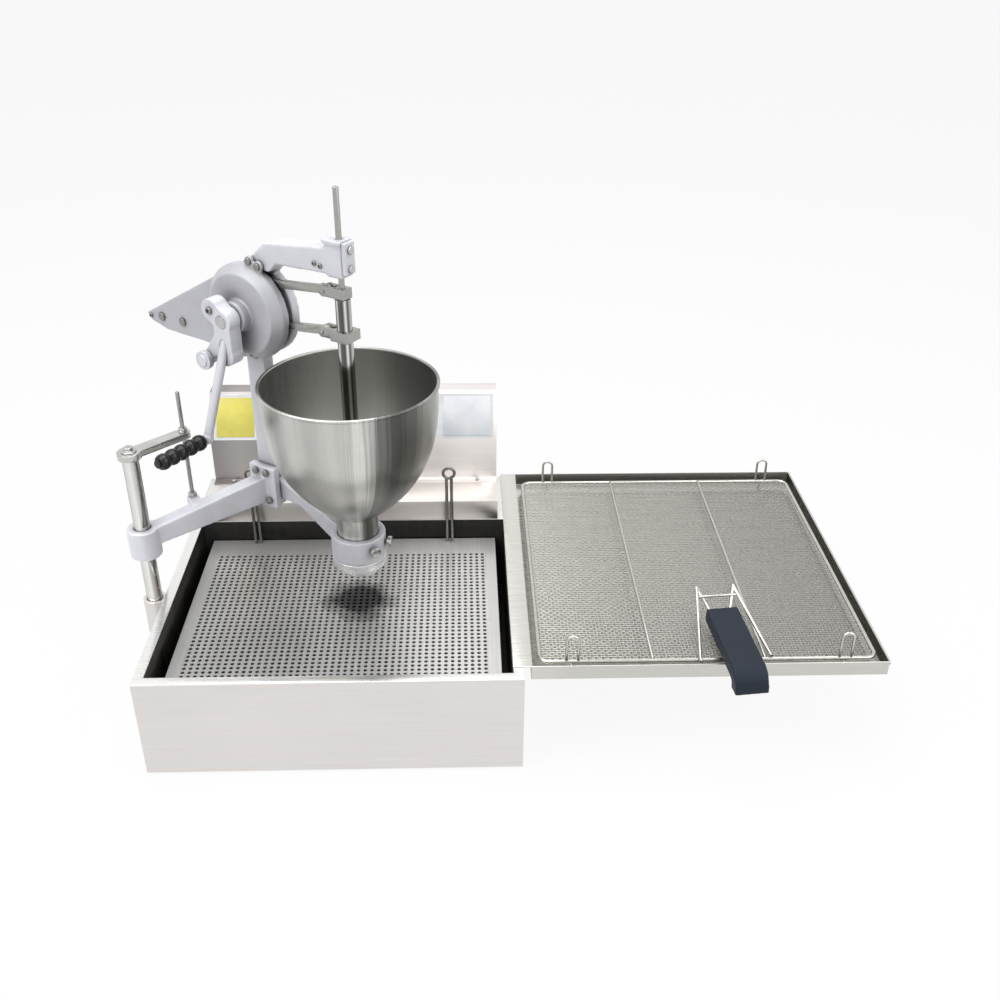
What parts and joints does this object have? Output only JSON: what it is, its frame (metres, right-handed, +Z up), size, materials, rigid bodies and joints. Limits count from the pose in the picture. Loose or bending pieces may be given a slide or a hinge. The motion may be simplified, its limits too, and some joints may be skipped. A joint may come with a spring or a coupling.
{
  "type": "donut making machine",
  "caption": "Counter-top donut fryer with a black oil tank, a perforated plate, a hand-cranked batter depositor on a swing post and a draining tray with a mesh rack.",
  "frame": {"origin": "centre of the fryer casing's footprint on the table, at the bottom of its feet", "axes": "+X to the right towards the draining tray, +Y to the back with the control box, +Z up"},
  "size_m": [1.0705, 0.609, 0.746],
  "materials": {
    "stainless": "warm brushed stainless sheet",
    "tank_dark": "dark oil-stained tank",
    "rubber": "matt rubber",
    "element": "darkened sheath",
    "gland_brass": "turned brass",
    "plate_steel": "perforated stainless",
    "bright_steel": "polished rod and fasteners",
    "cast_alloy": "sprayed light grey casting",
    "overlay": "pale panel skin",
    "yellow": "bare yellow plate",
    "pale_blue": "bare pale plate",
    "black_plastic": "moulded black",
    "lamp_red": "clear red lens",
    "lamp_green": "clear green lens",
    "bakelite": "gloss black beads",
    "navy_grip": "soft navy grip",
    "mesh_steel": "woven wire"
  },
  "bodies": {
    "base": {"casing_shell": "stainless", "base_plate": "stainless", "top_rim": "stainless", "oil_tank": "tank_dark", "feet": "rubber", "heater_elements": "element", "heater_glands": "gland_brass", "thermostat_bulb": "gland_brass", "rear_deck": "stainless", "control_box": "stainless", "box_back_cover": "stainless", "panel_overlay": "overlay", "yellow_plate": "yellow", "pale_plate": "pale_blue", "power_lamp": "lamp_red", "heat_lamp": "lamp_green", "box_screws": "bright_steel", "cable_gland": "black_plastic", "post_socket": "stainless", "tray_brackets": "stainless"},
    "plate": {"perforated_plate": "plate_steel", "plate_legs": "plate_steel", "plate_loops": "bright_steel"},
    "thermostat": {"thermostat_knob": "black_plastic"},
    "post": {"post": "bright_steel", "top_bar": "stainless", "top_bar_screw": "bright_steel"},
    "lift_nut": {"lift_nut": "bright_steel"},
    "arm": {"swing_arm": "cast_alloy", "arm_bolts": "bright_steel", "main_casting": "cast_alloy", "front_cover": "cast_alloy", "cover_screws": "bright_steel", "guide_cap": "cast_alloy", "guide_bolts": "bright_steel", "lever_pins": "bright_steel", "ring_bracket": "cast_alloy", "ring_screws": "bright_steel", "hopper": "stainless", "nozzle": "bright_steel", "lift_rod": "bright_steel", "rod_locknut": "bright_steel"},
    "crank": {"cam_shaft": "bright_steel", "crank_clamp": "cast_alloy", "crank_rod": "bright_steel"},
    "crank_grip": {"crank_grip": "bakelite"},
    "dose_knob": {"dose_knob": "bright_steel"},
    "upper_lever": {"upper_lever": "cast_alloy"},
    "lower_lever": {"lower_lever": "cast_alloy"},
    "plunger": {"inner_rod": "bright_steel", "upper_clevis": "cast_alloy", "forming_disc": "bright_steel"},
    "piston_tube": {"outer_tube": "bright_steel", "lower_clevis": "cast_alloy", "piston": "bright_steel"},
    "tray": {"drain_tray": "stainless"},
    "rack": {"rack_frame": "bright_steel", "rack_mesh": "mesh_steel"},
    "handle": {"handle_grip": "navy_grip", "handle_wires": "bright_steel"}
  },
  "joints": [
    {"name": "thermostat_turn", "type": "hinge", "parent": "base", "child": "thermostat", "pos_m": [0.03, 0.232, 0.3], "axis": [0, -0.8991, 0.4377], "range_deg": [-270, 0]},
    {"name": "post_swing", "type": "hinge", "parent": "base", "child": "post", "pos_m": [-0.288, -0.037, 0.3], "axis": [0, 0, 1], "range_deg": [-95, 0]},
    {"name": "arm_lift", "type": "slide", "parent": "post", "child": "arm", "axis": [0, 0, 1], "range_m": [-0.015, 0.04]},
    {"name": "lift_nut_turn", "type": "hinge", "parent": "post", "child": "lift_nut", "pos_m": [-0.22604, 0.02605, 0.381], "axis": [0, 0, 1], "continuous": true},
    {"name": "crank_turn", "type": "hinge", "parent": "arm", "child": "crank", "pos_m": [-0.1093, 0.05459, 0.554], "axis": [0.5592, 0.829, 0], "range_deg": [0, 180]},
    {"name": "grip_spin", "type": "hinge", "parent": "crank", "child": "crank_grip", "pos_m": [-0.20012, -0.06508, 0.39422], "axis": [0.5592, 0.829, 0], "continuous": true},
    {"name": "dose_knob_turn", "type": "hinge", "parent": "crank", "child": "dose_knob", "pos_m": [-0.17663, 0.01557, 0.494], "axis": [0.5592, 0.829, 0], "continuous": true},
    {"name": "upper_lever_rock", "type": "hinge", "parent": "arm", "child": "upper_lever", "pos_m": [-0.25522, 0.15301, 0.5105], "axis": [0.5592, 0.829, 0], "range_deg": [0, 4.47]},
    {"name": "lower_lever_rock", "type": "hinge", "parent": "arm", "child": "lower_lever", "pos_m": [-0.21957, 0.12896, 0.511], "axis": [0.5592, 0.829, 0], "range_deg": [0, 6.58]},
    {"name": "plunger_slide", "type": "slide", "parent": "arm", "child": "plunger", "axis": [0, 0, 1], "range_m": [-0.0241, 0]},
    {"name": "piston_slide", "type": "slide", "parent": "arm", "child": "piston_tube", "axis": [0, 0, 1], "range_m": [-0.0301, 0]},
    {"name": "plate_lift", "type": "slide", "parent": "base", "child": "plate", "axis": [0, 0, 1], "range_m": [0, 0.04]},
    {"name": "tray_lift", "type": "slide", "parent": "base", "child": "tray", "axis": [0, 0, 1], "range_m": [0, 0.1]},
    {"name": "rack_lift", "type": "slide", "parent": "tray", "child": "rack", "axis": [0, 0, 1], "range_m": [0, 0.12]},
    {"name": "handle_lift", "type": "slide", "parent": "rack", "child": "handle", "axis": [0, 0, 1], "range_m": [0, 0.08]}
  ],
  "couplings": [
    {"joint": "upper_lever_rock", "follows": "crank_turn", "ratio": 0.024737},
    {"joint": "lower_lever_rock", "follows": "crank_turn", "ratio": 0.03646},
    {"joint": "plunger_slide", "follows": "crank_turn", "m_per_rad": -0.0076394},
    {"joint": "piston_slide", "follows": "crank_turn", "m_per_rad": -0.0095493}
  ]
}
